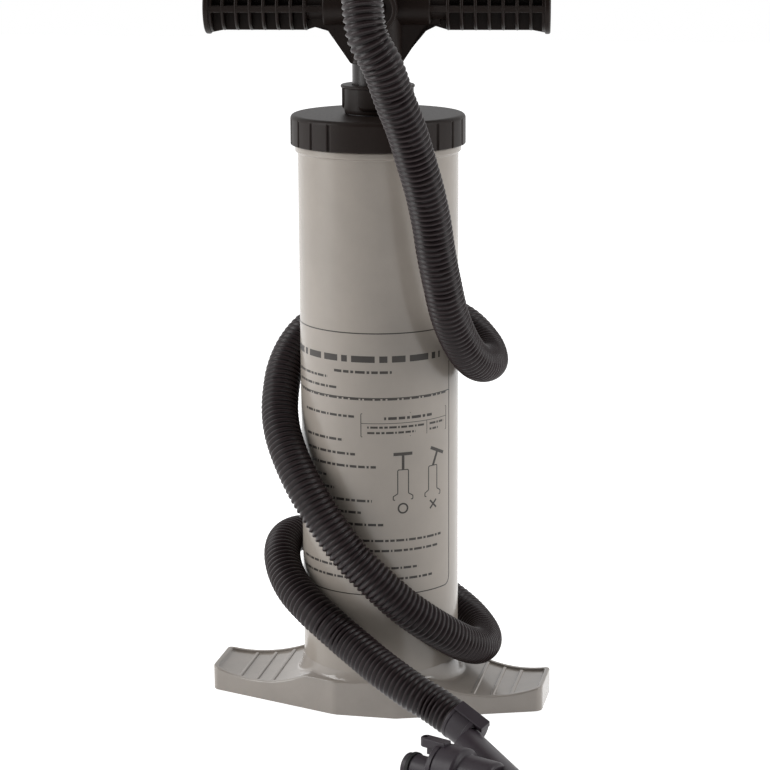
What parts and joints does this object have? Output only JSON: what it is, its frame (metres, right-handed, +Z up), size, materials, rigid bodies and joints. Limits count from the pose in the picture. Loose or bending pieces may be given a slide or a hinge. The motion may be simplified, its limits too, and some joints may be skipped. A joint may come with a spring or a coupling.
{
  "type": "hand pump",
  "caption": "Upright double action hand pump: grey barrel on a two-tread foot, ribbed T-handle on a hollow rod, corrugated hose wound round the barrel.",
  "frame": {"origin": "on the barrel's axis at floor level, under the foot", "axes": "+Z up along the barrel, X along the two treads and the handle, -Y to the front where the hose end lies"},
  "size_m": [0.2821, 0.3359, 0.578],
  "materials": {
    "foot_grey": "gloss",
    "barrel_grey": "gloss",
    "black_plastic": "satin",
    "dark_plastic": "satin",
    "hose_black": "satin",
    "seal_rubber": "matte",
    "bush_nylon": "satin",
    "screw_steel": "satin"
  },
  "bodies": {
    "pump_body": {"base_foot": "foot_grey", "base_screws": "screw_steel", "bottom_bulkhead": "dark_plastic", "bulkhead_seal": "seal_rubber", "intake_stud": "bush_nylon", "bottom_bumper": "seal_rubber", "barrel_tube": "barrel_grey", "cap_gasket": "seal_rubber", "head_plate": "dark_plastic", "top_cap": "black_plastic", "intake_clip": "screw_steel", "top_bumper": "seal_rubber", "rod_bush": "bush_nylon", "rod_seal": "seal_rubber", "rod_wiper": "seal_rubber", "gland_nut": "black_plastic", "hose_upper": "hose_black", "hose_wrap": "hose_black", "end_cuff": "black_plastic", "head_body": "black_plastic", "side_nozzle": "black_plastic", "side_seal": "seal_rubber"},
    "outlet": {"outlet_elbow": "black_plastic", "outlet_seal": "seal_rubber", "upper_cuff": "black_plastic"},
    "plunger": {"rod_tube": "black_plastic", "rod_nut": "screw_steel", "piston_head": "dark_plastic", "piston_plate": "dark_plastic", "piston_screws": "screw_steel", "piston_ring_upper": "seal_rubber", "piston_ring_lower": "seal_rubber", "outlet_clip": "screw_steel", "outlet_stud": "bush_nylon", "handle": "black_plastic", "handle_screw": "black_plastic", "handle_nut": "screw_steel"},
    "lower_intake": {"intake_disc_lower": "seal_rubber"},
    "upper_intake": {"intake_disc_upper": "seal_rubber"},
    "upper_outlet": {"outlet_disc_upper": "seal_rubber"},
    "lower_outlet": {"outlet_disc_lower": "seal_rubber"},
    "nozzle": {"front_nozzle": "black_plastic", "front_seal": "seal_rubber"}
  },
  "joints": [
    {"name": "pump_stroke", "type": "slide", "parent": "pump_body", "child": "outlet", "axis": [0, 0, 1], "range_m": [0, 0.33], "deforming": ["hose_upper"]},
    {"name": "handle_turn", "type": "hinge", "parent": "outlet", "child": "plunger", "pos_m": [0, 0, 0.5], "axis": [0, 0, 1], "continuous": true},
    {"name": "lower_intake_lift", "type": "slide", "parent": "pump_body", "child": "lower_intake", "axis": [0, 0, 1], "range_m": [0, 0.0015]},
    {"name": "upper_intake_drop", "type": "slide", "parent": "pump_body", "child": "upper_intake", "axis": [0, 0, -1], "range_m": [0, 0.0015], "stiffness_N_per_m": 200, "springref_m": -0.002},
    {"name": "lower_outlet_lift", "type": "slide", "parent": "plunger", "child": "lower_outlet", "axis": [0, 0, 1], "range_m": [0, 0.0015]},
    {"name": "upper_outlet_drop", "type": "slide", "parent": "plunger", "child": "upper_outlet", "axis": [0, 0, -1], "range_m": [0, 0.0015], "stiffness_N_per_m": 200, "springref_m": -0.002},
    {"name": "nozzle_turn", "type": "hinge", "parent": "pump_body", "child": "nozzle", "pos_m": [0.1307, -0.20727, 0.0155], "axis": [0.5195, -0.8545, 0], "continuous": true}
  ]
}
